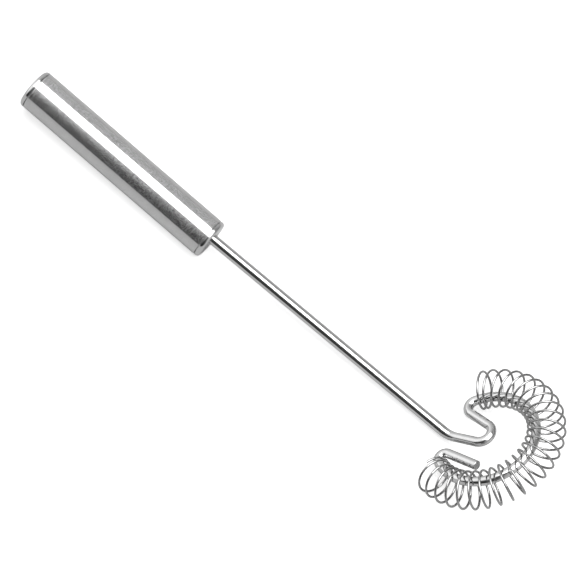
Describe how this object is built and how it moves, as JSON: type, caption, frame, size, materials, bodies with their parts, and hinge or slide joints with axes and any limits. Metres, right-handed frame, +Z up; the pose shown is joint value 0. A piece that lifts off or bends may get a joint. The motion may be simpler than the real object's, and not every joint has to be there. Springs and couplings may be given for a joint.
{
  "type": "whisk",
  "caption": "Spiral sauce whisk: a bent steel wire with a C-shaped loop, a coil spring threaded on the loop and a hollow round steel handle.",
  "frame": {"origin": "on the surface that the whisk lies on, under the middle of its bounding box", "axes": "+X along the whisk from the handle to the loop, +Y to the left seen from the handle, +Z up from the surface"},
  "size_m": [0.2402, 0.0612, 0.0354],
  "materials": {
    "handle_steel": "satin, finely brushed",
    "cap_steel": "polished",
    "collar_steel": "plain turned",
    "wire_steel": "polished",
    "spring_steel": "bright drawn wire"
  },
  "bodies": {
    "whisk": {"handle_tube": "handle_steel", "rear_cap": "cap_steel", "front_cap": "cap_steel", "tang_collar": "collar_steel", "whisk_wire": "wire_steel"},
    "spring": {"coil_spring": "spring_steel"}
  },
  "joints": [
    {"name": "spring_slide", "type": "hinge", "parent": "whisk", "child": "spring", "pos_m": [0.09435, 0.00003, 0.01346], "axis": [-0.6157, -0.0908, 0.7828], "range_deg": [-5, 5]}
  ]
}
